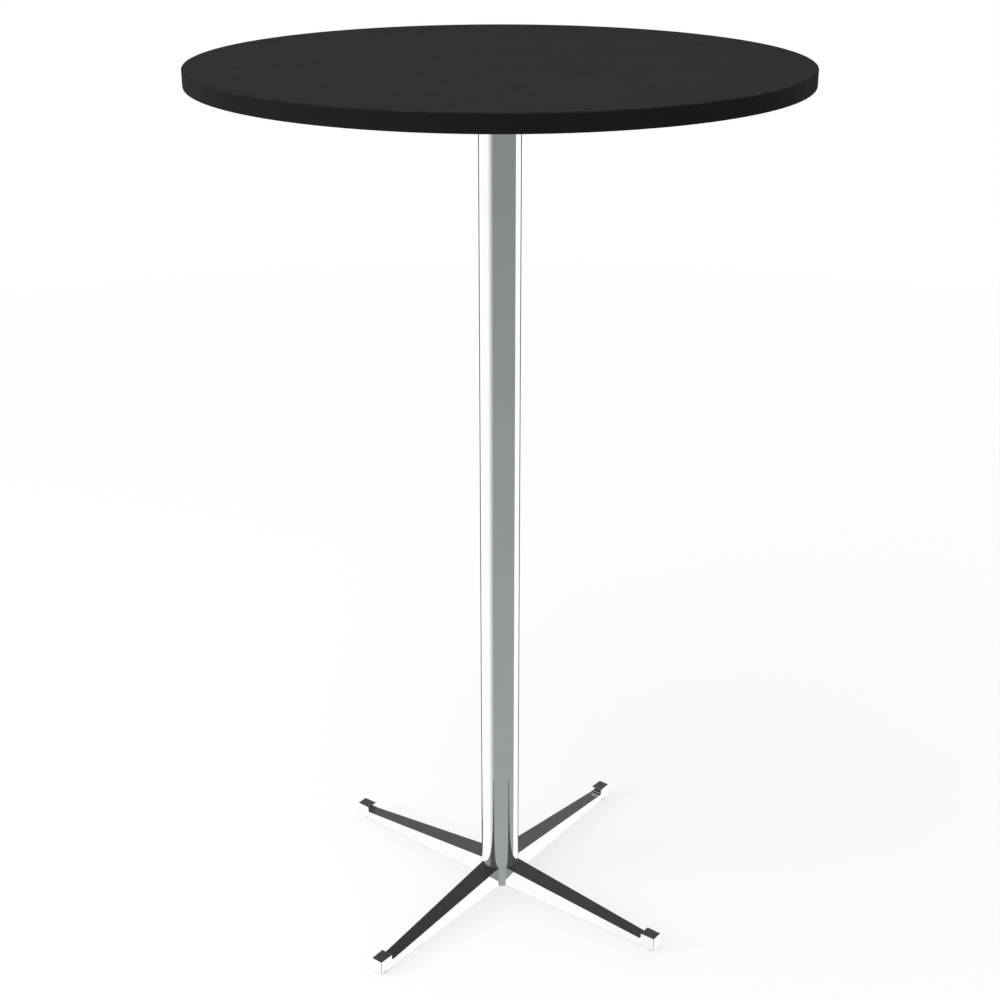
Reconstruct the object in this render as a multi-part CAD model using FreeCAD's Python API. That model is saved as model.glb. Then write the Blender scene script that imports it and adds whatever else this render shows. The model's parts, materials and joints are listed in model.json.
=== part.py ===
import FreeCAD, Part
import math
import os

Vector = FreeCAD.Vector

# A round bar table: a black laminated board on a round chromed column with a four-legged star base.
# The origin is on the floor under the column's axis. The legs lie on the diagonals. All sizes in mm.

# Overall
table_height = 1100.0
floor_gap = 4.0

# Board
top_diameter = 700.0
core_thickness = 18.0
laminate_thickness = 0.8
edge_band_thickness = 2.0
edge_band_rounding = 1.2
glue_line = 0.05

# Column
column_diameter = 50.0
column_wall = 2.0
spigot_clearance = 0.15
column_end_break = 0.3

# Legs, with widths and heights of the taper carried back to the column's axis
leg_reach = 255.5
leg_axis_width = 29.2
leg_tip_width = 15.4
leg_axis_height = 31.2
leg_toe_height = 10.8
leg_edge_rounding = 0.7
leg_count = 4

# Toe block at the end of each leg
toe_length = 20.0
toe_height = 18.6
toe_valley_rounding = 2.0

# Base hub
hub_spigot_height = 40.0
hub_recess_diameter = 34.0
hub_recess_depth = 17.0
rod_clearance = 0.3

# Spider that carries the board
spider_hub_height = 36.0
spider_spigot_height = 25.0
spider_counterbore_diameter = 34.0
spider_counterbore_depth = 17.0
arm_reach = 235.0
arm_root_width = 40.0
arm_tip_width = 26.0
arm_thickness = 6.0
rib_thickness = 7.0
rib_toe_height = 6.0
rib_screw_gap = 22.0
arm_edge_rounding = 1.5
rib_edge_rounding = 2.0
rib_root_rounding = 2.5

# Board screws, two in each arm
screw_diameter = 5.0
screw_length = 19.0
screw_point = 4.0
screw_head_diameter = 9.6
screw_head_height = 3.2
screw_head_rounding = 1.4
screw_hole_clearance = 0.25
screw_grip_clearance = 0.05
screw_tip_inset = 17.0
screw_spacing = 40.0
screw_tip_share = 0.25

# Tie rod, nuts and washers
rod_diameter = 12.0
rod_end_break = 1.0
rod_end_margin = 1.2
nut_across_flats = 18.0
nut_height = 10.8
nut_corner_break = 0.9
washer_diameter = 24.0
washer_thickness = 2.5
thread_clearance = 0.05

# Levelling glides
glide_thread_diameter = 6.0
glide_thread_length = 14.0
glide_thread_break = 0.8
glide_bore_spare = 1.6
glide_running_clearance = 0.1
glide_flange_diameter = 9.0
glide_flange_thickness = 1.0
pad_diameter = 14.0
pad_height = 3.6
pad_rounding = 0.8
pad_sole = 1.0
pad_play = 0.05

# One overrun for every cutting tool, and how closely an edge is matched to its place
overrun = 1.0
match = 0.05

# Radii and levels worked out from the sizes above
top_radius = top_diameter / 2
core_radius = top_radius - edge_band_thickness - glue_line
column_radius = column_diameter / 2
bore_radius = column_radius - column_wall
spigot_radius = bore_radius - spigot_clearance
rod_radius = rod_diameter / 2
rod_hole_radius = rod_radius + rod_clearance
glide_radius = glide_thread_diameter / 2
glide_bore_radius = glide_radius + glide_running_clearance

outer_screw_radius = arm_reach - screw_tip_inset
inner_screw_radius = outer_screw_radius - screw_spacing
rib_reach = inner_screw_radius - rib_screw_gap

board_bottom = table_height - core_thickness - 2 * laminate_thickness
plate_bottom = board_bottom - arm_thickness
core_bottom = board_bottom + laminate_thickness
core_top = core_bottom + core_thickness

toe_inner = leg_reach - toe_length
leg_slope = (leg_axis_height - leg_toe_height) / toe_inner
flank_radius = math.sqrt(column_radius ** 2 - (leg_axis_width / 2) ** 2)
leg_bottom = floor_gap
column_bottom = leg_bottom + leg_axis_height - leg_slope * flank_radius
column_top = board_bottom - spider_hub_height

lower_seat = leg_bottom + hub_recess_depth
upper_seat = board_bottom - spider_counterbore_depth
rod_bottom = lower_seat - washer_thickness - nut_height - rod_end_margin
rod_top = upper_seat + washer_thickness + nut_height + rod_end_margin

glide_centre = leg_reach - toe_length / 2
flange_bottom = pad_sole + pad_play
cavity_top = flange_bottom + glide_flange_thickness + pad_play
glide_top = flange_bottom + glide_flange_thickness + glide_thread_length

leg_names = ("front_left", "front_right", "back_right", "back_left")
first_leg_angle = 225.0
leg_step = 360.0 / leg_count

up = Vector(0, 0, 1)
axis_point = Vector(0, 0, 0)


def cylinder(radius, bottom, top):
    return Part.makeCylinder(radius, top - bottom, Vector(0, 0, bottom))


def prism(points, direction):
    """A closed outline pushed along a direction."""
    return Part.Face(Part.makePolygon(points + points[:1])).extrude(direction)


def turned(outline):
    """A piece turned about the Z axis from (radius, height) corners."""
    points = [Vector(radius, 0, height) for radius, height in outline]
    return Part.Face(Part.makePolygon(points + points[:1])).revolve(axis_point, up, 360)


def edges_at_height(shape, height):
    def lies_there(edge):
        box = edge.BoundBox
        return abs(box.ZMin - height) < match and abs(box.ZMax - height) < match

    return [edge for edge in shape.Edges if lies_there(edge)]


def turned_about_column(shape, angle):
    copy = shape.copy()
    copy.rotate(axis_point, up, angle)
    return copy


def write(name, shape):
    shape.exportStep(f"parts/{name}.step")
    print(f"{name}: {len(shape.Solids)} solid, {shape.Volume / 1000:.2f} cm3, valid {shape.isValid()}")


def edge_band():
    """A plastic strip round the whole thickness of the board, with its two outer edges rounded."""
    outer = cylinder(top_radius, board_bottom, table_height)
    rims = edges_at_height(outer, board_bottom) + edges_at_height(outer, table_height)
    rounded = outer.makeFillet(edge_band_rounding, rims)
    return rounded.cut(cylinder(core_radius + glue_line, board_bottom - overrun, table_height + overrun))


def screw_places():
    """Where the board screws stand, as seen from above."""
    for leg in range(leg_count):
        angle = math.radians(first_leg_angle + leg * leg_step)
        for radius in (inner_screw_radius, outer_screw_radius):
            yield Vector(radius * math.cos(angle), radius * math.sin(angle), 0)


def holes_at(places, radius, bottom, top):
    hole = cylinder(radius, bottom, top)
    return Part.makeCompound([hole.translated(place) for place in places])


def board_layers():
    """The core and its two laminates; the screws pass through the backing into the core."""
    pilot_top = plate_bottom + screw_length + overrun
    pilot_radius = screw_diameter / 2 + screw_grip_clearance
    pilots = holes_at(screw_places(), pilot_radius, board_bottom - overrun, pilot_top)
    core = cylinder(core_radius, core_bottom, core_top).cut(pilots)
    backing = cylinder(core_radius, board_bottom, core_bottom).cut(pilots)
    face = cylinder(core_radius, core_top, table_height)
    return core, backing, face


def board_screws():
    """Pan-head wood screws, driven upwards through the arms."""
    seat = plate_bottom
    head_bottom = seat - screw_head_height
    head = cylinder(screw_head_diameter / 2, head_bottom, seat)
    head = head.makeFillet(screw_head_rounding, edges_at_height(head, head_bottom))
    shank_end = seat + screw_length
    shank = cylinder(screw_diameter / 2, seat - screw_head_height / 2, shank_end - screw_point)
    point_bottom = Vector(0, 0, shank_end - screw_point)
    shank_radius = screw_diameter / 2
    point = Part.makeCone(shank_radius, shank_radius * screw_tip_share, screw_point, point_bottom)
    screw = head.fuse([shank, point]).removeSplitter()
    return Part.makeCompound([screw.translated(place) for place in screw_places()])


def arm_plate():
    """The flat arm along +X with a round end."""
    tip_radius = arm_tip_width / 2
    tip_centre = arm_reach - tip_radius
    plan = [Vector(0, -arm_root_width / 2, plate_bottom),
            Vector(tip_centre, -tip_radius, plate_bottom),
            Vector(tip_centre, tip_radius, plate_bottom),
            Vector(0, arm_root_width / 2, plate_bottom)]
    plate = prism(plan, Vector(0, 0, arm_thickness))
    end = cylinder(tip_radius, plate_bottom, board_bottom).translated(Vector(tip_centre, 0, 0))
    return plate.fuse(end).removeSplitter()


def arm_rib():
    """The upright rib that runs out of the hub and gets lower towards the arm's end."""
    rib_side = -rib_thickness / 2
    rib_outline = [Vector(0, rib_side, column_top),
                   Vector(column_radius, rib_side, column_top),
                   Vector(rib_reach, rib_side, plate_bottom - rib_toe_height),
                   Vector(rib_reach, rib_side, board_bottom),
                   Vector(0, rib_side, board_bottom)]
    rib = prism(rib_outline, Vector(0, rib_thickness, 0))
    sloping = [edge for edge in rib.Edges if min(edge.BoundBox.XLength, edge.BoundBox.ZLength) > match]
    return rib.makeFillet(rib_edge_rounding, sloping)


def is_rib_root(edge):
    """Where the rib's sides and end stand on the arm."""
    box = edge.BoundBox
    within_rib = max(box.YMax, -box.YMin) < rib_thickness / 2 + match
    return within_rib and box.XMax > match


def is_arm_outline(edge):
    """The lower edge round the arm, without the end that is buried in the hub."""
    box = edge.BoundBox
    beside_rib = max(box.YMax, -box.YMin) > arm_tip_width / 2 - match
    return beside_rib and box.XMax > match


def spider_arm():
    """One arm with its rib, a fillet where they meet and a softened edge, as on a casting."""
    arm = arm_plate().fuse(arm_rib()).removeSplitter()
    roots = [edge for edge in edges_at_height(arm, plate_bottom) if is_rib_root(edge)]
    arm = arm.makeFillet(rib_root_rounding, roots)
    outline = [edge for edge in edges_at_height(arm, plate_bottom) if is_arm_outline(edge)]
    return arm.makeFillet(arm_edge_rounding, outline)


def top_spider():
    """A cast cross under the board; its hub plugs into the column and hides the upper nut."""
    hub = cylinder(column_radius, column_top, board_bottom)
    spigot = cylinder(spigot_radius, column_top - spider_spigot_height, column_top)
    arm = spider_arm()
    arms = [turned_about_column(arm, first_leg_angle + leg * leg_step) for leg in range(leg_count)]
    body = hub.fuse([spigot] + arms).removeSplitter()
    counterbore = cylinder(spider_counterbore_diameter / 2, upper_seat, board_bottom + overrun)
    rod_hole = cylinder(rod_hole_radius, column_top - spider_spigot_height - overrun, board_bottom)
    hole_radius = screw_diameter / 2 + screw_hole_clearance
    screw_holes = holes_at(screw_places(), hole_radius, plate_bottom - overrun, board_bottom + overrun)
    return body.cut([counterbore, rod_hole, screw_holes])


def column_tube():
    """The chromed tube between the hub's shoulder and the spider."""
    tube = cylinder(column_radius, column_bottom, column_top)
    ends = edges_at_height(tube, column_bottom) + edges_at_height(tube, column_top)
    tube = tube.makeFillet(column_end_break, ends)
    return tube.cut(cylinder(bore_radius, column_bottom - overrun, column_top + overrun))


def base_hub():
    """A turned hub as thick as the column; the legs are welded to it and the lower nut hides in it."""
    body = cylinder(column_radius, leg_bottom, column_bottom)
    body = body.fuse(cylinder(spigot_radius, column_bottom, column_bottom + hub_spigot_height))
    recess = cylinder(hub_recess_diameter / 2, leg_bottom - overrun, lower_seat)
    rod_hole = cylinder(rod_hole_radius, leg_bottom, column_bottom + hub_spigot_height + overrun)
    return body.cut([recess, rod_hole])


def leg_side_outline():
    """The leg seen from its side: flat sole, raised toe block and a top that climbs to the column."""
    toe_top = leg_bottom + toe_height
    return [Vector(0, 0, leg_bottom),
            Vector(leg_reach, 0, leg_bottom),
            Vector(leg_reach, 0, toe_top),
            Vector(toe_inner, 0, toe_top),
            Vector(toe_inner, 0, leg_bottom + leg_toe_height),
            Vector(0, 0, leg_bottom + leg_axis_height)]


def leg_along_x():
    """A solid leg that narrows in plan and in height, coped round the hub and bored for its glide."""
    side = prism(leg_side_outline(), Vector(0, leg_axis_width, 0))
    side = side.translated(Vector(0, -leg_axis_width / 2, 0))
    plan = prism([Vector(0, -leg_axis_width / 2, leg_bottom),
                  Vector(leg_reach, -leg_tip_width / 2, leg_bottom),
                  Vector(leg_reach, leg_tip_width / 2, leg_bottom),
                  Vector(0, leg_axis_width / 2, leg_bottom)], Vector(0, 0, leg_axis_height))
    bar = side.common(plan).removeSplitter()
    valley = [edge for edge in bar.Edges if is_valley(edge)]
    bar = bar.makeFillet(toe_valley_rounding, valley)
    outer = [edge for edge in bar.Edges if is_outer(edge)]
    bar = bar.makeFillet(leg_edge_rounding, outer)
    bar = bar.cut(cylinder(column_radius, leg_bottom - overrun, leg_bottom + leg_axis_height + overrun))
    bore_top = glide_top + glide_bore_spare
    bore = cylinder(glide_bore_radius, leg_bottom - overrun, bore_top)
    return bar.cut(bore.translated(Vector(glide_centre, 0, 0)))


def is_valley(edge):
    """The inner corner where the leg's top meets the toe block."""
    box = edge.BoundBox
    upright_to_leg = box.XLength < match and box.ZLength < match and abs(box.XMin - toe_inner) < match
    return upright_to_leg and box.ZMax < leg_bottom + toe_height - match


def is_outer(edge):
    """Every edge that a hand can reach: all but the sole's inner end and the faces on the column's axis."""
    box = edge.BoundBox
    return box.XMax > column_radius


def washer(seat, direction):
    bottom = min(seat, seat + direction * washer_thickness)
    ring = cylinder(washer_diameter / 2, bottom, bottom + washer_thickness)
    return ring.cut(cylinder(rod_hole_radius, bottom - overrun, bottom + washer_thickness + overrun))


def hex_nut(bottom):
    """A hexagon nut whose corners are turned down to a cone at both ends."""
    corner = nut_across_flats / math.sqrt(3)
    turns = [math.radians(60 * side) for side in range(6)]
    points = [Vector(corner * math.cos(turn), corner * math.sin(turn), bottom) for turn in turns]
    hexagon = prism(points, Vector(0, 0, nut_height))
    top = bottom + nut_height
    face_radius = nut_across_flats / 2
    barrel = turned([(0, bottom), (face_radius, bottom), (corner, bottom + nut_corner_break),
                     (corner, top - nut_corner_break), (face_radius, top), (0, top)])
    bore = cylinder(rod_radius + thread_clearance, bottom - overrun, top + overrun)
    return hexagon.common(barrel).cut(bore)


def tie_rod():
    """The rod that clamps spider, column and hub together."""
    tip = rod_radius - rod_end_break
    return turned([(0, rod_bottom), (tip, rod_bottom), (rod_radius, rod_bottom + rod_end_break),
                   (rod_radius, rod_top - rod_end_break), (tip, rod_top), (0, rod_top)])


def glide_screw():
    """A threaded stud with a flat foot that the pad is moulded round."""
    foot = glide_flange_diameter / 2
    foot_top = flange_bottom + glide_flange_thickness
    tip = glide_radius - glide_thread_break
    return turned([(0, flange_bottom), (foot, flange_bottom), (foot, foot_top), (glide_radius, foot_top),
                   (glide_radius, glide_top - glide_thread_break), (tip, glide_top), (0, glide_top)])


def glide_pad():
    """A low plastic pad with a cavity for the stud's foot and a neck that keeps it in."""
    outer = pad_diameter / 2
    cavity = glide_flange_diameter / 2 + pad_play
    neck = glide_radius + pad_play
    pad = cylinder(outer, 0, pad_height)
    pad = pad.makeFillet(pad_rounding, edges_at_height(pad, 0) + edges_at_height(pad, pad_height))
    hollow = cylinder(cavity, pad_sole, cavity_top)
    return pad.cut([hollow, cylinder(neck, pad_sole, pad_height + overrun)])


os.makedirs("parts", exist_ok=True)

core, backing, face = board_layers()
write("top_core", core)
write("backing_laminate", backing)
write("top_laminate", face)
write("edge_band", edge_band())
write("top_spider", top_spider())
write("top_screws", board_screws())

write("column_tube", column_tube())
write("base_hub", base_hub())
write("tie_rod", tie_rod())
write("upper_washer", washer(upper_seat, 1))
write("upper_nut", hex_nut(upper_seat + washer_thickness))
write("lower_washer", washer(lower_seat, -1))
write("lower_nut", hex_nut(lower_seat - washer_thickness - nut_height))

leg = leg_along_x()
stud = glide_screw().translated(Vector(glide_centre, 0, 0))
pad = glide_pad().translated(Vector(glide_centre, 0, 0))
for number, name in enumerate(leg_names):
    angle = first_leg_angle + number * leg_step
    write(f"leg_{name}", turned_about_column(leg, angle))
    write(f"glide_screw_{name}", turned_about_column(stud, angle))
    write(f"glide_pad_{name}", turned_about_column(pad, angle))
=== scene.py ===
# %% [markdown]
# A round bar table in Blender: a thin black laminated board on one chromed tube, which stands on a
# star of four tapered chromed legs. The solid model is loaded first and stays as it is. It could
# also be modelled again by eye, but then the holes, seats and joints would no longer fit, so this
# lesson only dresses what is already right.

# %% Load the frame
import json
import math

import bmesh
import bpy
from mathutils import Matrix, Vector


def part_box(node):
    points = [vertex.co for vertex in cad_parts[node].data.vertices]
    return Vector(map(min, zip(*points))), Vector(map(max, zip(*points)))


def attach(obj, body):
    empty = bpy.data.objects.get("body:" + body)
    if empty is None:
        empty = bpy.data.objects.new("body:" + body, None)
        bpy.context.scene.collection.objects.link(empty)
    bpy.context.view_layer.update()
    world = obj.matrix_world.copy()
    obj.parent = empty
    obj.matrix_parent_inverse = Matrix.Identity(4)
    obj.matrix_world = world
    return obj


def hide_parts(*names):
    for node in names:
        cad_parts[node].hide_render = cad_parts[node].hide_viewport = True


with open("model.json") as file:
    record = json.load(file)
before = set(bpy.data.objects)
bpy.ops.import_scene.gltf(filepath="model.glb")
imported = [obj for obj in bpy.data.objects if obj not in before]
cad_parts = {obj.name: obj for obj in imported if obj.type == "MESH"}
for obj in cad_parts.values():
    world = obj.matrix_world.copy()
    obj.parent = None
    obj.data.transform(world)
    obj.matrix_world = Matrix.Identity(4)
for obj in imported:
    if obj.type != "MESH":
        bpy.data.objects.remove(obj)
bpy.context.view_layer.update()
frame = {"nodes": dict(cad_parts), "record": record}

MM = 0.001
nodes = frame["nodes"]

# %% [markdown]
# The camera comes first, because everything else is judged through it. The picture's own viewpoint
# was worked out from the round of the board and the ends of the legs: a camera a little to the
# left of the front, above the board, looking down. A camera placed by eye would be quicker, but a
# few pixels off is enough to hide a wrong proportion.

# %% Place the camera
CAMERA_AZIMUTH = math.radians(-7.48)
CAMERA_PITCH = math.radians(23.01)
CAMERA_DISTANCE = 1824.8 * MM
CAMERA_HEIGHT = 1342.6 * MM
FRAME_PIXELS = 1000
FOCAL_PIXELS = 1591.6
SENSOR_WIDTH = 36.0


def new_object(name, data):
    """An object in the scene that shows a mesh, a camera or a lamp."""
    thing = bpy.data.objects.new(name, data)
    bpy.context.scene.collection.objects.link(thing)
    return thing


camera_data = bpy.data.cameras.new("camera")
camera_data.sensor_width = SENSOR_WIDTH
camera_data.lens = SENSOR_WIDTH * FOCAL_PIXELS / FRAME_PIXELS
camera = new_object("camera", camera_data)
camera.location = (CAMERA_DISTANCE * math.sin(CAMERA_AZIMUTH),
                   -CAMERA_DISTANCE * math.cos(CAMERA_AZIMUTH), CAMERA_HEIGHT)
camera.rotation_euler = (math.pi / 2 - CAMERA_PITCH, 0, CAMERA_AZIMUTH)
bpy.context.scene.camera = camera
print("camera at", [round(value, 3) for value in camera.location], "lens", round(camera_data.lens, 2))

# %% [markdown]
# Finishes are node trees. Wiring each Math node by hand hides the formula, so one small class
# wraps a socket and turns Python's arithmetic into nodes, and a second one adds any other node in
# a single call. After that a finish reads like the sentence that describes it.

# %% Write shader maths as expressions
class Wire:
    """An output socket that can be added, subtracted and multiplied like a number."""

    def __init__(self, tree, socket):
        self.tree = tree
        self.socket = socket

    def math(self, operation, first, second):
        return self.tree.add("ShaderNodeMath", {"operation": operation}, {0: first, 1: second})["Value"]

    def __add__(self, other):
        return self.math("ADD", self, other)

    def __radd__(self, other):
        return self.math("ADD", other, self)

    def __sub__(self, other):
        return self.math("SUBTRACT", self, other)

    def __rsub__(self, other):
        return self.math("SUBTRACT", other, self)

    def __mul__(self, other):
        return self.math("MULTIPLY", self, other)

    def __rmul__(self, other):
        return self.math("MULTIPLY", other, self)


print("operators: + - * in both orders")

# %% [markdown]
# All other nodes come from one method: the node's type, then its settings, then its sockets.
# Settings go first because some of them change which sockets a node has. The short methods below
# it are the few recipes that every finish of this table uses: patches of noise, a climb from 0 to
# 1, a mix, a bump.

# %% Add any node in one call
class Outputs:
    """A node's outputs, found by name or number."""

    def __init__(self, tree, node):
        self.tree = tree
        self.node = node

    def __getitem__(self, key):
        return Wire(self.tree, self.node.outputs[key])


class Tree:
    """A node tree that is filled one call at a time."""

    def __init__(self, node_tree):
        self.node_tree = node_tree
        self.node_tree.nodes.clear()

    def add(self, kind, settings=None, inputs=None):
        node = self.node_tree.nodes.new(kind)
        for name, value in (settings or {}).items():
            if name == "stops":
                self.set_stops(node.color_ramp, value)
            else:
                setattr(node, name, value)
        for key, value in (inputs or {}).items():
            if isinstance(value, Wire):
                self.node_tree.links.new(value.socket, node.inputs[key])
            else:
                node.inputs[key].default_value = value
        return Outputs(self, node)

    def set_stops(self, ramp, stops):
        while len(ramp.elements) < len(stops):
            ramp.elements.new(0.5)
        for element, (place, value) in zip(ramp.elements, stops):
            element.position = place
            element.color = (value, value, value, 1)

    def ramp(self, wire, low, high):
        """0 below low, 1 above high and a straight climb between."""
        settings = {"stops": [(low, 0.0), (high, 1.0)]}
        return self.add("ShaderNodeValToRGB", settings, {"Fac": wire})["Color"]

    def climb(self, wire, low, high):
        """The same for values that lie outside 0 to 1."""
        inputs = {"Value": wire, "From Min": low, "From Max": high}
        return self.add("ShaderNodeMapRange", {"clamp": True}, inputs)["Result"]

    def mix(self, factor, first, second):
        """A colour between two colours."""
        return self.add("ShaderNodeMix", {"data_type": "RGBA"}, {0: factor, 6: first, 7: second})[2]

    def place(self):
        """Where a point lies on the table, in metres."""
        return self.add("ShaderNodeTexCoord")["Object"]

    def height(self):
        """How high a point lies."""
        return self.add("ShaderNodeSeparateXYZ", None, {"Vector": self.place()})["Z"]

    def reach(self):
        """How far a point lies from the column's axis."""
        level = {0: self.place(), 1: (1, 1, 0)}
        flat = self.add("ShaderNodeVectorMath", {"operation": "MULTIPLY"}, level)["Vector"]
        return self.add("ShaderNodeVectorMath", {"operation": "LENGTH"}, {0: flat})["Value"]

    def noise(self, size, detail=3.0, roughness=0.55):
        """Soft random patches of about this size, in metres."""
        inputs = {"Vector": self.place(), "Scale": 1 / size, "Detail": detail, "Roughness": roughness}
        return self.add("ShaderNodeTexNoise", None, inputs)["Fac"]

    def bump(self, height, depth):
        """A surface that stands proud by this depth where the height is 1."""
        return self.add("ShaderNodeBump", None, {"Height": height, "Distance": depth})["Normal"]


print("tree methods:", [name for name in vars(Tree) if not name.startswith("_")])

# %% [markdown]
# A finish is a material with one Principled shader. Each finish below is a function that returns
# the shader's inputs by name. Materials could share one big node group with many sliders, but a
# table has so few finishes that seven short recipes are easier to read.

# %% Turn a recipe into a material
def grey(value):
    return (value, value, value, 1)


def finish(name, fill):
    """A material whose tree is filled by a function that returns the shader's inputs."""
    material = bpy.data.materials.new(name)
    material.use_nodes = True
    tree = Tree(material.node_tree)
    shader = tree.add("ShaderNodeBsdfPrincipled", None, fill(tree))
    tree.add("ShaderNodeOutputMaterial", None, {"Surface": shader["BSDF"]})
    print("finish:", name, len(material.node_tree.nodes), "nodes")
    return material


print("a middle grey:", grey(0.5))

# %% [markdown]
# Chrome is a bare mirror, so it shows the room and hardly any colour of its own. It gives back about
# three quarters of the light, so what is mirrored twice, as one leg in the side of another, comes
# out darker. What gives it away as real is what sits on the mirror: a breath of haze where it was
# wiped, a plating that is never perfectly flat, and fine scuffs on the toes, where shoes rest. All
# of it could be painted on an image, but noise has no seams.

# %% Make the chrome
CHROME_COLOUR = (0.75, 0.7525, 0.754, 1)
CHROME_HAZE_COLOUR = (0.696, 0.699, 0.7, 1)
CHROME_ROUGHNESS = 0.02
HAZE_ROUGHNESS = 0.06
WIPE_SIZE = 60 * MM
SPECK_SIZE = 4 * MM
SCUFF_SIZE = 2.2 * MM
WIPE_SHARE = 0.55
SPECK_SHARE = 0.2
SCUFF_SHARE = 0.25
TOE_START = 215 * MM
TOE_END = 250 * MM
PLATING_SIZE = 9 * MM
PLATING_DEPTH = 0.004 * MM


def chrome_inputs(tree):
    wiped = tree.ramp(tree.noise(WIPE_SIZE, 5.0, 0.6), 0.45, 0.8)
    specks = tree.ramp(tree.noise(SPECK_SIZE, 2.0), 0.62, 0.8)
    scuffed = tree.ramp(tree.noise(SCUFF_SIZE, 4.0), 0.5, 0.7)
    scuffed = scuffed * tree.climb(tree.reach(), TOE_START, TOE_END)
    haze = wiped * WIPE_SHARE + specks * SPECK_SHARE + scuffed * SCUFF_SHARE
    return {"Base Color": tree.mix(haze, CHROME_COLOUR, CHROME_HAZE_COLOUR),
            "Metallic": 1.0,
            "Roughness": CHROME_ROUGHNESS + HAZE_ROUGHNESS * haze,
            "Normal": tree.bump(tree.noise(PLATING_SIZE, 1.0), PLATING_DEPTH)}


chrome = finish("polished_chrome", chrome_inputs)

# %% [markdown]
# The board is faced with a matt black laminate. Under a lamp such a face shows a pearl-like grain
# about a millimetre across and faint cloudy patches where hands have polished it, both too shallow
# to be modelled, so they are bump and roughness.

# %% Make the black laminate
LAMINATE_DARK = grey(0.015)
LAMINATE_LIGHT = grey(0.0238)
LAMINATE_ROUGHNESS = 0.62
LAMINATE_SHINE = 0.17
POLISH = 0.08
GRAIN_SIZE = 0.9 * MM
GRAIN_DEPTH = 0.06 * MM
MOTTLE_SIZE = 13 * MM
CLOUD_SIZE = 110 * MM


def laminate_inputs(tree):
    grain = tree.noise(GRAIN_SIZE, 2.0)
    mottle = tree.ramp(tree.noise(MOTTLE_SIZE, 5.0, 0.65), 0.3, 0.7)
    cloud = tree.ramp(tree.noise(CLOUD_SIZE, 4.0), 0.35, 0.75)
    return {"Base Color": tree.mix(grain * 0.5 + mottle * 0.5, LAMINATE_DARK, LAMINATE_LIGHT),
            "Roughness": LAMINATE_ROUGHNESS - POLISH * cloud,
            "Specular IOR Level": LAMINATE_SHINE,
            "Normal": tree.bump(grain, GRAIN_DEPTH)}


laminate = finish("matt_black_laminate", laminate_inputs)

# %% [markdown]
# The rim is a black plastic strip, two millimetres thick, glued on by a machine and scraped flush.
# It is deeper in tone than the face and hardly shines, with the faint waviness that the scraper
# leaves. One black for face and rim would be simpler, but then the edge of the board would not read
# as a separate strip. Its two rounded corners take the knocks, so they are a little lighter all
# round, and more so in patches.

# %% Make the edging
EDGING_DARK = grey(0.0085)
EDGING_WORN = grey(0.026)
EDGING_ROUGHNESS = 0.5
EDGING_SPREAD = 0.1
EDGING_SHINE = 0.01
SCRAPE_SIZE = 1.6 * MM
SCRAPE_DEPTH = 0.03 * MM
SCRAPE_TINT = 0.2
CORNER_WEAR = 0.25
KNOCK_WEAR = 0.45
KNOCK_SIZE = 22 * MM
RIM_WORN_FROM = 8.8 * MM
RIM_WORN_TO = 9.3 * MM

rim_low, rim_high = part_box("edge_band")
rim_middle = (rim_low[2] + rim_high[2]) / 2


def edging_inputs(tree):
    scrape = tree.noise(SCRAPE_SIZE, 3.0)
    from_middle = tree.height() - rim_middle
    at_corner = tree.climb(from_middle * from_middle, RIM_WORN_FROM ** 2, RIM_WORN_TO ** 2)
    knocked = tree.ramp(tree.noise(KNOCK_SIZE, 5.0), 0.42, 0.62)
    worn = at_corner * (CORNER_WEAR + KNOCK_WEAR * knocked)
    return {"Base Color": tree.mix(worn + scrape * SCRAPE_TINT, EDGING_DARK, EDGING_WORN),
            "Roughness": EDGING_ROUGHNESS + EDGING_SPREAD * scrape,
            "Specular IOR Level": EDGING_SHINE,
            "Normal": tree.bump(scrape, SCRAPE_DEPTH)}


edging = finish("satin_black_edging", edging_inputs)

# %% [markdown]
# The spider under the board is a casting with a black powder coat. Powder melts into a skin with a
# dimpled orange-peel surface, and dust lies on it. The dimples could be sculpted, but at a tenth
# of a millimetre a bump is enough, and the dust only lightens the colour in patches.

# %% Make the powder coat
POWDER_CLEAN = grey(0.02)
POWDER_DUSTY = grey(0.035)
POWDER_ROUGHNESS = 0.46
POWDER_SPREAD = 0.12
POWDER_SHINE = 0.38
PEEL_SIZE = 1.4 * MM
PEEL_DEPTH = 0.12 * MM
DUST_SIZE = 45 * MM


def powder_inputs(tree):
    peel = tree.noise(PEEL_SIZE, 2.0)
    dust = tree.ramp(tree.noise(DUST_SIZE, 5.0), 0.5, 0.9)
    return {"Base Color": tree.mix(dust, POWDER_CLEAN, POWDER_DUSTY),
            "Roughness": POWDER_ROUGHNESS + POWDER_SPREAD * peel,
            "Specular IOR Level": POWDER_SHINE,
            "Normal": tree.bump(peel, PEEL_DEPTH)}


powder = finish("black_powder_coat", powder_inputs)

# %% [markdown]
# Screws, nuts, washers, rod and studs are zinc-plated steel. Zinc is a metal with a bluish cast
# and small cloudy crystals that differ a little in tone and gloss. A plain grey metal would look
# like aluminium, so the same noise drives colour, roughness and bump together.

# %% Make the zinc
ZINC_BLUISH = (0.38, 0.40, 0.43, 1)
ZINC_PALE = (0.55, 0.55, 0.535, 1)
ZINC_ROUGHNESS = 0.22
ZINC_SPREAD = 0.2
SPANGLE_SIZE = 2.5 * MM
SPANGLE_DEPTH = 0.02 * MM


def zinc_inputs(tree):
    spangle = tree.noise(SPANGLE_SIZE, 3.0)
    return {"Base Color": tree.mix(spangle, ZINC_BLUISH, ZINC_PALE),
            "Metallic": 1.0,
            "Roughness": ZINC_ROUGHNESS + ZINC_SPREAD * spangle,
            "Normal": tree.bump(spangle, SPANGLE_DEPTH)}


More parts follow.
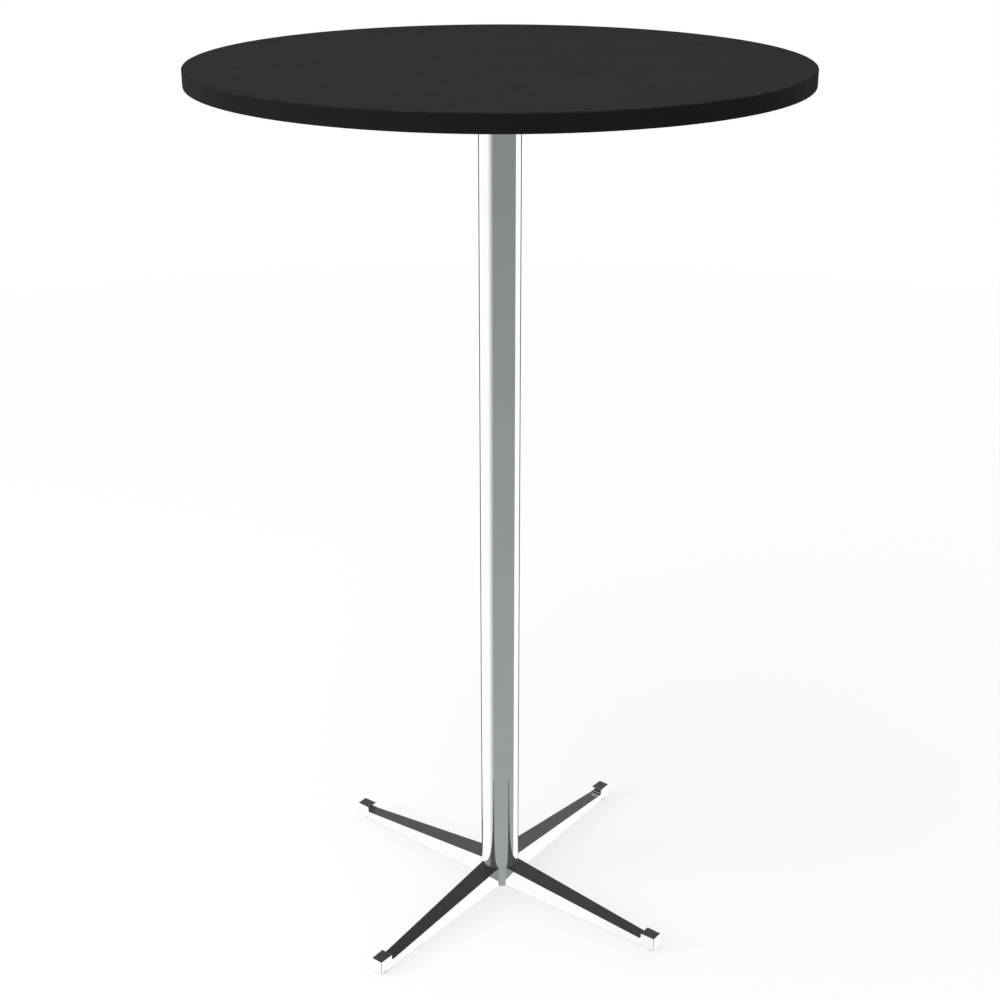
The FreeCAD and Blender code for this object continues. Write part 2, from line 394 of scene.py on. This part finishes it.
zinc = finish("bright_zinc", zinc_inputs)

# %% [markdown]
# The core of the board is fibre board, brown and felted. It is closed in on all sides and shows
# only when the model is taken apart, so one fine noise for fibres is all it needs.

# %% Make the fibre board
FIBRE_DARK = (0.30, 0.20, 0.12, 1)
FIBRE_LIGHT = (0.50, 0.37, 0.24, 1)
FIBRE_ROUGHNESS = 0.8
FIBRE_SPREAD = 0.15
FIBRE_SIZE = 0.7 * MM
FIBRE_DEPTH = 0.1 * MM


def fibre_inputs(tree):
    fibre = tree.noise(FIBRE_SIZE, 4.0)
    return {"Base Color": tree.mix(fibre, FIBRE_DARK, FIBRE_LIGHT),
            "Roughness": FIBRE_ROUGHNESS + FIBRE_SPREAD * fibre,
            "Normal": tree.bump(fibre, FIBRE_DEPTH)}


fibre_board = finish("fibre_board", fibre_inputs)

# %% [markdown]
# The pads are moulded from uncoloured nylon, a waxy off-white with soft flow marks. Light under
# the skin would be true to nylon as well, but on a pad no bigger than a coin nobody would see it.

# %% Make the nylon
NYLON_DARK = (0.74, 0.73, 0.70, 1)
NYLON_LIGHT = (0.82, 0.81, 0.78, 1)
NYLON_ROUGHNESS = 0.4
NYLON_SPREAD = 0.12
FLOW_SIZE = 3 * MM
FLOW_DEPTH = 0.02 * MM


def nylon_inputs(tree):
    flow = tree.noise(FLOW_SIZE, 3.0)
    return {"Base Color": tree.mix(flow, NYLON_DARK, NYLON_LIGHT),
            "Roughness": NYLON_ROUGHNESS + NYLON_SPREAD * flow,
            "Normal": tree.bump(flow, FLOW_DEPTH)}


nylon = finish("natural_nylon", nylon_inputs)

# %% [markdown]
# The solid model says which finish belongs to which node, so the finishes are handed out by that
# list and not by hand. The chrome pieces, the board and the spider keep their own shapes: they
# were rounded where it shows.

# %% Give every node its finish
FINISH_BY_SLOT = {"chrome": chrome, "black_laminate": laminate, "black_backing": laminate,
                  "black_edge": edging, "spider_black": powder, "zinc_steel": zinc,
                  "board_core": fibre_board, "nylon": nylon}
slot_of = {part["node"]: part["material_slot"] for part in frame["record"]["subparts"]}
for name, node in nodes.items():
    node.data.materials.clear()
    node.data.materials.append(FINISH_BY_SLOT[slot_of[name]])
print("dressed nodes:", len(nodes))

# %% [markdown]
# Three kinds of fastener are plain bars in the solid model, because threads and driver slots only
# matter to the eye. They are turned here: a profile is swept round an axis, as on a lathe.
# Blender's Screw modifier does the same, but a list of radii and heights can be checked against a
# drawing.

# %% Turn a profile on a lathe
TURN_STEPS = 48


def turned(profile):
    """Points and faces of a closed profile of (radius, height) that starts and ends on the axis."""
    points = [(0, 0, profile[0][1])]
    for radius, height in profile[1:-1]:
        for step in range(TURN_STEPS):
            angle = 2 * math.pi * step / TURN_STEPS
            points.append((radius * math.cos(angle), radius * math.sin(angle), height))
    points.append((0, 0, profile[-1][1]))
    rings = len(profile) - 2
    faces = []
    for step in range(TURN_STEPS):
        after = (step + 1) % TURN_STEPS
        faces.append((0, 1 + after, 1 + step))
        for ring in range(rings - 1):
            low = 1 + ring * TURN_STEPS
            high = low + TURN_STEPS
            faces.append((low + step, low + after, high + after, high + step))
        last = 1 + (rings - 1) * TURN_STEPS
        faces.append((last + step, last + after, len(points) - 1))
    return points, faces


print("lathe:", TURN_STEPS, "steps to the turn")

# %% [markdown]
# A screw thread is a ridge wound on a core: a small trapezoid that climbs one pitch with each
# turn. Stacked rings would look alike from the side, but a real thread has one start and one end,
# and the eye finds them. The ridge is sunk a little into its core, so that no gap shows between
# them.

# %% Wind a thread
RIDGE_SINK = 0.1
RIDGE_FOOT = 0.06
RIDGE_CREST = 0.42


def wound(core, crest, pitch, low, high):
    """A ridge that winds round the axis from one height to another."""
    sunk = core - RIDGE_SINK
    ridge = ((sunk, RIDGE_FOOT), (crest, RIDGE_CREST), (crest, 1 - RIDGE_CREST), (sunk, 1 - RIDGE_FOOT))
    count = int((high - low - pitch) / pitch * TURN_STEPS)
    points = []
    faces = []
    for step in range(count + 1):
        angle = 2 * math.pi * step / TURN_STEPS
        base = low + pitch * step / TURN_STEPS
        for radius, share in ridge:
            points.append((radius * math.cos(angle), radius * math.sin(angle), base + pitch * share))
        if step:
            now = 4 * step
            for side in range(4):
                other = (side + 1) % 4
                faces.append((now - 4 + side, now + side, now + other, now - 4 + other))
    faces.append((0, 1, 2, 3))
    end = 4 * count
    faces.append((end + 3, end + 2, end + 1, end))
    return points, faces


print("thread: a ridge that fills", round(1 - 2 * RIDGE_FOOT, 2), "of its pitch")

# %% [markdown]
# A shape so far is only a list of points and faces in millimetres. Two helpers join shapes and
# move them. Objects could be joined in Blender afterwards, but a list is quicker to copy.

# %% Join and move shapes
def joined(*shapes):
    points = []
    faces = []
    for more_points, more_faces in shapes:
        first = len(points)
        points += more_points
        faces += [tuple(first + index for index in face) for face in more_faces]
    return points, faces


def moved(shape, x, y, z=0):
    return [(px + x, py + y, pz + z) for px, py, pz in shape[0]], shape[1]


print("a point moved by 5 mm:", moved(([(0, 0, 0)], []), 5, 0)[0])

# %% [markdown]
# One more helper makes the object. Faces are turned outwards, edges sharper than 35 degrees stay
# sharp, and every object made here is hung at once on the body it rides on, and the nodes it
# stands for are hidden. That could be done for all pieces at the end, but then a forgotten one is
# hard to find.

# %% Make a piece
SHARP_ANGLE = math.radians(35)


def new_mesh(name, shape, scale):
    """A mesh of a shape, with all its faces turned outwards."""
    points, faces = shape
    mesh = bpy.data.meshes.new(name)
    mesh.from_pydata([(x * scale, y * scale, z * scale) for x, y, z in points], [], faces)
    made = bmesh.new()
    made.from_mesh(mesh)
    bmesh.ops.recalc_face_normals(made, faces=made.faces)
    made.to_mesh(mesh)
    made.free()
    return mesh


def piece(name, shape, material, body, slot, *replaced):
    """A piece made here, in millimetres, that takes the place of nodes of the solid model."""
    mesh = new_mesh(name, shape, MM)
    mesh.shade_smooth()
    mesh.set_sharp_from_angle(angle=SHARP_ANGLE)
    mesh.materials.append(material)
    thing = new_object(name, mesh)
    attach(thing, body)
    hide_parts(*replaced)
    print("piece:", name, len(mesh.polygons), "faces")


def levels(node):
    """The lowest and the highest level of a node of the solid model, in millimetres."""
    low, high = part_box(node)
    return low[2] / MM, high[2] / MM


print("the tie rod reaches from", [round(level, 2) for level in levels("tie_rod")])

# %% [markdown]
# Each leg ends in a levelling glide: a nylon pad on a threaded stud that screws into the leg. At
# rest almost nothing of the stud shows. When the pad is let down to level the table, six
# millimetres of thread come into view. A picture of a thread would do for the few millimetres, but
# it would look flat from below, so the thread is wound.

# %% Make the glide studs
STUD_CREST = 3.0
STUD_CORE = 2.45
STUD_PITCH = 1.0
STUD_FOOT_RADIUS = 4.5
STUD_FOOT_HEIGHT = 1.0
STUD_TIP_RADIUS = 1.8
STUD_TIP_HEIGHT = 0.65
STUD_THREAD_GAP = 0.05
SIDES = {"front_left": (-1, -1), "front_right": (1, -1),
         "back_right": (1, 1), "back_left": (-1, 1)}

stud_low, stud_high = levels("glide_screw_front_left")
foot_top = stud_low + STUD_FOOT_HEIGHT
tip_start = stud_high - STUD_TIP_HEIGHT
stud_profile = [(0, stud_low), (STUD_FOOT_RADIUS, stud_low), (STUD_FOOT_RADIUS, foot_top),
                (STUD_CORE, foot_top), (STUD_CORE, tip_start), (STUD_TIP_RADIUS, stud_high), (0, stud_high)]
stud = joined(turned(stud_profile),
              wound(STUD_CORE, STUD_CREST, STUD_PITCH, foot_top + STUD_THREAD_GAP, tip_start))
for side in SIDES:
    stud_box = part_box("glide_screw_" + side)
    middle = (stud_box[0] + stud_box[1]) / 2 / MM
    placed = moved(stud, middle.x, middle.y)
    piece("threaded_stud_" + side, placed, zinc, "glide_" + side, "zinc_steel", "glide_screw_" + side)

# %% [markdown]
# One long rod inside the column pulls base and top together. It could be threaded all along, but
# bought tie rods have thread at their ends only, and the lower end can be seen in the nut under
# the base.

# %% Make the tie rod
ROD_RADIUS = 6.0
ROD_CORE = 5.1
ROD_PITCH = 1.75
ROD_THREAD = 32.0
ROD_SHOULDER = 1.0
ROD_END_BREAK = 0.5

rod_low, rod_high = levels("tie_rod")
lower_end = rod_low + ROD_THREAD
upper_end = rod_high - ROD_THREAD
rod_profile = [(0, rod_low), (ROD_CORE - ROD_END_BREAK, rod_low), (ROD_CORE, rod_low + ROD_END_BREAK),
               (ROD_CORE, lower_end), (ROD_RADIUS, lower_end + ROD_SHOULDER),
               (ROD_RADIUS, upper_end - ROD_SHOULDER), (ROD_CORE, upper_end),
               (ROD_CORE, rod_high - ROD_END_BREAK), (ROD_CORE - ROD_END_BREAK, rod_high), (0, rod_high)]
rod = joined(turned(rod_profile),
             wound(ROD_CORE, ROD_RADIUS, ROD_PITCH, rod_low, lower_end),
             wound(ROD_CORE, ROD_RADIUS, ROD_PITCH, upper_end, rod_high))
piece("threaded_tie_rod", rod, zinc, "table", "zinc_steel", "tie_rod")

# %% [markdown]
# Eight pan-head wood screws hold the spider to the board. One is turned first, head down, with its
# rim as a quarter round. Its cross slot is cut out of the head with a Boolean modifier; drawing
# the slot on the head as a dark cross would fail as soon as a light moves.

# %% Make the board screws
HEAD_RADIUS = 4.8
HEAD_HEIGHT = 3.2
HEAD_ROUND = 1.4
HEAD_STEPS = 6
SHANK_RADIUS = 2.5
POINT_RADIUS = 0.625
POINT_LENGTH = 4.0

head_low, point_high = levels("top_screws")
screw_length = point_high - head_low
turns = [math.pi / 2 * step / HEAD_STEPS for step in range(HEAD_STEPS + 1)]
rounded = [(HEAD_RADIUS - HEAD_ROUND * (1 - math.sin(turn)), HEAD_ROUND * (1 - math.cos(turn)))
           for turn in turns]
screw = turned([(0, 0)] + rounded
               + [(HEAD_RADIUS, HEAD_HEIGHT), (SHANK_RADIUS, HEAD_HEIGHT),
                  (SHANK_RADIUS, screw_length - POINT_LENGTH), (POINT_RADIUS, screw_length),
                  (0, screw_length)])
print("screw length:", round(screw_length, 2), "mm")

# %% [markdown]
# The slot is the shape of the driver's tip: two crossed bars that narrow inwards. One crossed
# cutter would do, but two plain bars used one after the other keep every face flat.

# %% Cut the cross slots
SLOT_HALF_LENGTH = 2.3
SLOT_HALF_WIDTH = 0.55
SLOT_DEPTH = 2.2
SLOT_OVERRUN = 0.5
SLOT_TAPER = 0.6


def tapered_bar(half_x, half_y):
    """A bar that narrows towards its top, as a driver's wing does."""
    points = [(x * half_x * scale, y * half_y * scale, z)
              for z, scale in ((-SLOT_OVERRUN, 1.0), (SLOT_DEPTH, SLOT_TAPER))
              for x, y in ((-1, -1), (1, -1), (1, 1), (-1, 1))]
    faces = [(3, 2, 1, 0), (4, 5, 6, 7), (0, 1, 5, 4), (1, 2, 6, 5), (2, 3, 7, 6), (3, 0, 4, 7)]
    return points, faces


def cut(shape, cutter):
    """The first shape without the second."""
    blank = new_object("blank", new_mesh("blank", shape, 1))
    tool = new_object("cutter", new_mesh("cutter", cutter, 1))
    boolean = blank.modifiers.new("slot", "BOOLEAN")
    boolean.operation = "DIFFERENCE"
    boolean.solver = "EXACT"
    boolean.object = tool
    result = blank.evaluated_get(bpy.context.evaluated_depsgraph_get()).to_mesh()
    points = [tuple(vertex.co) for vertex in result.vertices]
    faces = [tuple(face.vertices) for face in result.polygons]
    for thing in (blank, tool):
        bpy.data.objects.remove(thing)
    return points, faces


screw = cut(screw, tapered_bar(SLOT_HALF_LENGTH, SLOT_HALF_WIDTH))
screw = cut(screw, tapered_bar(SLOT_HALF_WIDTH, SLOT_HALF_LENGTH))
print("faces of one screw:", len(screw[1]))

# %% [markdown]
# The eight screws are one piece in the solid model, two in each arm, so the finished screw is
# copied to the eight places and joined. A particle system or an array could scatter them too, but
# they stand on a cross.

# %% Drive the screws
SCREW_RADII = (178, 218)

diagonal = math.sqrt(0.5)
placed = [moved(screw, radius * diagonal * across, radius * diagonal * along, head_low)
          for across, along in SIDES.values() for radius in SCREW_RADII]
piece("cross_slot_screws", joined(*placed), zinc, "table", "zinc_steel", "top_screws")

# %% [markdown]
# The studio floor is wide and pale and melts into a white background. A bright lamp on a white
# floor would do it too, but it would burn out the table with it. So the floor is part matt paint,
# which keeps the table's shadow, and part glow, which only the eye sees. Further out the glow takes
# over and the floor turns into the background, with no horizon line between them. From below the
# floor is clear, so that the underside can be looked at.

# %% Paint the floor
FLOOR_PAINT = grey(0.84)
FLOOR_GLOW = 0.72
FADE_START = 0.9
FADE_END = 3.5


def floor_material():
    material = bpy.data.materials.new("pale_floor")
    material.use_nodes = True
    tree = Tree(material.node_tree)
    path = tree.add("ShaderNodeLightPath")
    seen = path["Is Camera Ray"] + path["Is Glossy Ray"] + path["Is Transmission Ray"]
    away = tree.add("ShaderNodeVectorMath", {"operation": "LENGTH"}, {0: tree.place()})["Value"]
    lit = FLOOR_GLOW + (1 - FLOOR_GLOW) * tree.climb(away, FADE_START, FADE_END)
    matt = tree.add("ShaderNodeBsdfDiffuse", None, {"Color": FLOOR_PAINT})
    glow = tree.add("ShaderNodeEmission", None, {"Color": grey(1.0), "Strength": 1.0})
    top = tree.add("ShaderNodeMixShader", None,
                   {"Fac": seen * lit, 1: matt["BSDF"], 2: glow["Emission"]})
    clear = tree.add("ShaderNodeBsdfTransparent")
    under = tree.add("ShaderNodeNewGeometry")["Backfacing"]
    surface = tree.add("ShaderNodeMixShader", None, {"Fac": under, 1: top["Shader"], 2: clear["BSDF"]})
    tree.add("ShaderNodeOutputMaterial", None, {"Surface": surface["Shader"]})
    print("finish:", material.name, len(material.node_tree.nodes), "nodes")
    return material


floor_paint = floor_material()

# %% [markdown]
# The floor itself is one large disc. A plane would do as well, but its corners could come into
# view. It lies a hair above the pads' soles, which would be black otherwise, and the chrome doesn't
# mirror it: what mirrors see is the next step.

# %% Lay the floor
FLOOR_RADIUS = 30.0
FLOOR_LEVEL = 0.2 * MM
FLOOR_STEPS = 96

corners = [2 * math.pi * step / FLOOR_STEPS for step in range(FLOOR_STEPS)]
outline = [(FLOOR_RADIUS * math.cos(angle), FLOOR_RADIUS * math.sin(angle), FLOOR_LEVEL)
           for angle in corners]
floor_mesh = bpy.data.meshes.new("floor")
floor_mesh.from_pydata(outline, [], [range(FLOOR_STEPS)])
floor_mesh.materials.append(floor_paint)
floor = new_object("floor", floor_mesh)
floor.visible_glossy = False
print("floor radius:", FLOOR_RADIUS)

# %% [markdown]
# Chrome in an all-white room is a white shape on white. Photographers stand cards just outside the
# picture for the metal to mirror: a grey one in front, which the face of the column mirrors, and a
# dark one behind, which draws a fine line along its two sides. The ceiling is dark too, and
# darkens the tops of the legs. Three softboxes hang where the tops of the legs don't find them. A
# wide dim one on the left lights the root of one leg and the toe of another, and all three put
# bright lines on the column in the views from below. Here all of these are directions in the world
# that only mirrors see. Real cards on the floor would do it too, but the legs would stand on them
# and turn grey.

# %% Hang the softboxes
SOFTBOX_RIM = 0.05
SOFTBOX_CORE = 0.7
# Brightness, turn from the camera's side and half width in degrees, lower and upper end as a sine
SOFTBOXES = ((0.85, 7, 19, 0.57, 0.72), (0.85, 125, 10, 0.08, 0.45), (0.36, -103, 47, 0.0, 0.54))


def box_share(tree, turn, rise, middle, half, low, high):
    """1 in a softbox and 0 outside it, with a soft rim."""
    aside = turn - math.radians(middle)
    across = 1 - tree.climb(aside * aside, math.radians(SOFTBOX_CORE * half) ** 2, math.radians(half) ** 2)
    upward = tree.climb(rise, low - SOFTBOX_RIM, low) - tree.climb(rise, high, high + SOFTBOX_RIM)
    return across * upward


print("softboxes:", len(SOFTBOXES))

# %% [markdown]
# The cards and the ceiling are told apart by two numbers: how far a direction turns away from the
# camera's side, and how steeply it rises or falls. A picture of a studio wrapped round the world
# would do the same, but here every edge is a number that can be moved until the column looks
# right.

# %% Describe what the mirrors see
SOFT_START = math.radians(-68)
SOFT_END = math.radians(-38)
GREY_END = math.radians(93)
DARK_START = math.radians(146)
EDGE_BLUR = 0.01
GREY_LEVEL = (0.226, 0.242, 0.245, 1)
GREY_LOW = (0.335, 0.357, 0.357, 1)
GREY_FALL = (0.16, 0.59)
DARK_CARD = grey(0.05)
CEILING_LOW = (0.101, 0.1055, 0.1035, 1)
CEILING_HIGH = (0.0315, 0.0342, 0.0333, 1)
CEILING_RISE = (0.43, 0.76)
HORIZON = (-0.005, 0.02)


def mirrored_colour(tree):
    way = tree.add("ShaderNodeTexCoord")["Generated"]
    parts = tree.add("ShaderNodeSeparateXYZ", None, {"Vector": way})
    rise = parts["Z"]
    around = {0: parts["X"], 1: 0 - parts["Y"]}
    turn = tree.add("ShaderNodeMath", {"operation": "ARCTAN2"}, around)["Value"] - CAMERA_AZIMUTH
    past_left = tree.climb(turn, SOFT_START, SOFT_END)
    past_right = tree.climb(turn, GREY_END, GREY_END + EDGE_BLUR)
    behind = tree.climb(turn * turn, DARK_START ** 2, DARK_START ** 2 + 2 * EDGE_BLUR)
    card = tree.mix(tree.climb(0 - rise, *GREY_FALL), GREY_LEVEL, GREY_LOW)
    below = tree.mix(past_left * (1 - past_right), grey(1.0), card)
    below = tree.mix(behind, below, DARK_CARD)
    above = tree.mix(tree.climb(rise, *CEILING_RISE), CEILING_LOW, CEILING_HIGH)
    for brightness, *box in SOFTBOXES:
        above = tree.mix(box_share(tree, turn, rise, *box), above, grey(brightness))
    return tree.mix(tree.climb(rise, *HORIZON), below, above)


print("grey card, degrees:", round(math.degrees(GREY_END - SOFT_END)))

# %% [markdown]
# Two broad lamps and an even glow from all sides: a plain, soft light in which a colour looks as it
# was mixed. A bare sun would be simpler, but its hard shadow would be the first thing seen on a
# pale floor. The glow comes first. What mirrors see is brighter than white by as much as chrome
# swallows, so that white comes out white in the picture.

# %% Light the room
SOFT_LIGHT = 0.85
MIRRORED_WHITE = 0.98
MIRRORED_LIGHT = MIRRORED_WHITE / CHROME_COLOUR[0]

world = bpy.data.worlds.new("studio")
bpy.context.scene.world = world
world.use_nodes = True
room = Tree(world.node_tree)
path = room.add("ShaderNodeLightPath")
soft = room.add("ShaderNodeBackground", None, {"Color": grey(1.0), "Strength": SOFT_LIGHT})
backdrop = room.add("ShaderNodeBackground", None, {"Color": grey(1.0), "Strength": 1.0})
mirror_room = room.add("ShaderNodeBackground", None,
                       {"Color": mirrored_colour(room), "Strength": MIRRORED_LIGHT})
mirrored = room.add("ShaderNodeMixShader", None,
                    {"Fac": path["Is Glossy Ray"], 1: soft["Background"], 2: mirror_room["Background"]})
shown = room.add("ShaderNodeMixShader", None,
                 {"Fac": path["Is Camera Ray"] + path["Is Transmission Ray"],
                  1: mirrored["Shader"], 2: backdrop["Background"]})
room.add("ShaderNodeOutputWorld", None, {"Surface": shown["Shader"]})

print("soft light:", SOFT_LIGHT)

# %% [markdown]
# The main lamp is a large disc, high up and a little to the left. The larger it is, the softer the
# shadow under the base. A smaller one stands on the left, a little lower than the board, and makes
# the board's rim turn from light to dark. Mirrors don't show the lamps, because a white disc on the
# legs would be mistaken for a fault.

# %% Hang the lamps
# Power in watts, then the width, the place and the point to aim at in metres
LAMPS = {"overhead_softbox": (45.0, 2.4, (-0.9, -0.6, 3.4), (0, 0, 0)),
         "side_softbox": (40.0, 1.2, (-2.6, -0.4, 0.95), (0, 0, rim_middle))}


def hang_lamp(name, power, width, place, aim):
    """A round lamp that sheds light and is not seen itself."""
    data = bpy.data.lights.new(name, "AREA")
    data.shape = "DISK"
    data.size = width
    data.energy = power
    lamp = new_object(name, data)
    lamp.location = place
    lamp.rotation_euler = (Vector(aim) - Vector(place)).to_track_quat("-Z", "Y").to_euler()
    lamp.visible_glossy = False
    lamp.visible_camera = False
    print("lamp:", name, power, "W")


for name, settings in LAMPS.items():
    hang_lamp(name, *settings)
bpy.context.scene.view_settings.view_transform = "Standard"

# %% [markdown]
# The dressed table must keep the size of the solid model: a piece that reaches past the model
# would collide with things that the model clears.
